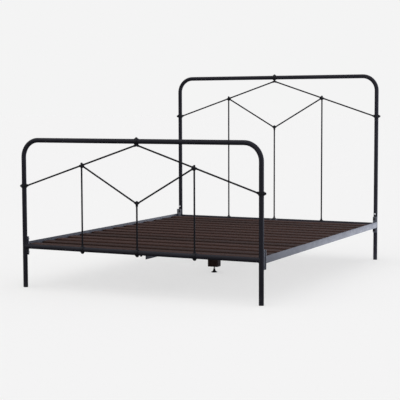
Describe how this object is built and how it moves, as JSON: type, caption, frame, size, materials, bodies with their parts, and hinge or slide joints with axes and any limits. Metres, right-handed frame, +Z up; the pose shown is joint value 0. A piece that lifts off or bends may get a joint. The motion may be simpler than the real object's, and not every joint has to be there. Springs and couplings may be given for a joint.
{
  "type": "bed frame",
  "caption": "Open metal bed frame with bent-tube head and foot ends, cast rod knots, bolted side rails, wooden slats and an adjustable centre leg.",
  "frame": {"origin": "on the floor, at the middle of the bed in width and length", "axes": "+X across the bed, to the right seen from the foot end; +Y from the footboard to the headboard; +Z up"},
  "size_m": [1.598, 2.102, 1.314],
  "materials": {
    "coated_tube": "satin black powder coat on steel tube",
    "coated_rod": "satin black powder coat on steel rod",
    "cast_knots": "satin black powder coat on sand-cast iron",
    "coated_rail": "satin dark grey powder coat on rolled angle steel",
    "stained_wood": "dark red-brown stain, sawn and lightly planed",
    "zinc_fixings": "bright zinc plate",
    "black_fixings": "black oxide",
    "black_plastic": "moulded, fine matt grain"
  },
  "bodies": {
    "bed": {"foot_bow_tube": "coated_tube", "foot_cross_tube": "coated_tube", "foot_diagonal_left": "coated_rod", "foot_diagonal_right": "coated_rod", "foot_brace_left": "coated_rod", "foot_brace_right": "coated_rod", "foot_upright_left": "coated_rod", "foot_upright_right": "coated_rod", "foot_upright_middle": "coated_rod", "foot_peak_casting": "cast_knots", "foot_post_castings": "cast_knots", "foot_knot_castings": "cast_knots", "foot_vee_casting": "cast_knots", "foot_base_castings": "cast_knots", "head_bow_tube": "coated_tube", "head_cross_tube": "coated_tube", "head_diagonal_left": "coated_rod", "head_diagonal_right": "coated_rod", "head_brace_left": "coated_rod", "head_brace_right": "coated_rod", "head_upright_left": "coated_rod", "head_upright_right": "coated_rod", "head_upright_middle": "coated_rod", "head_peak_casting": "cast_knots", "head_post_castings": "cast_knots", "head_knot_castings": "cast_knots", "head_vee_casting": "cast_knots", "head_base_castings": "cast_knots", "post_caps": "black_plastic", "bracket_foot_left": "coated_rail", "bracket_foot_right": "coated_rail", "bracket_head_left": "coated_rail", "bracket_head_right": "coated_rail", "side_rail_left": "coated_rail", "side_rail_right": "coated_rail", "end_plates_left": "coated_rail", "end_plates_right": "coated_rail", "rail_bolts": "black_fixings", "rail_washers": "black_fixings", "rail_nuts": "zinc_fixings", "slats": "stained_wood", "slat_screws": "zinc_fixings", "centre_rail": "coated_rail", "hanger_foot": "coated_rail", "hanger_head": "coated_rail", "hanger_bolts": "black_fixings", "hanger_washers": "black_fixings", "hanger_nuts": "black_fixings", "centre_leg": "stained_wood", "leg_bolts": "zinc_fixings", "leg_nuts": "zinc_fixings", "leg_tee_nut": "zinc_fixings", "post_inserts": "black_fixings", "post_screws": "zinc_fixings"},
    "leveller_foot": {"leveller_foot": "black_plastic"},
    "leveller_stud": {"leveller_stud": "zinc_fixings"}
  },
  "joints": [
    {"name": "leveller_height", "type": "slide", "parent": "bed", "child": "leveller_foot", "axis": [0, 0, 1], "range_m": [0, 0.0141]},
    {"name": "leveller_turn", "type": "hinge", "parent": "leveller_foot", "child": "leveller_stud", "pos_m": [0, 0, 0.03], "axis": [0, 0, 1], "range_deg": [0, 4063]}
  ],
  "couplings": [
    {"joint": "leveller_turn", "follows": "leveller_height", "rad_per_m": 5026.5}
  ]
}
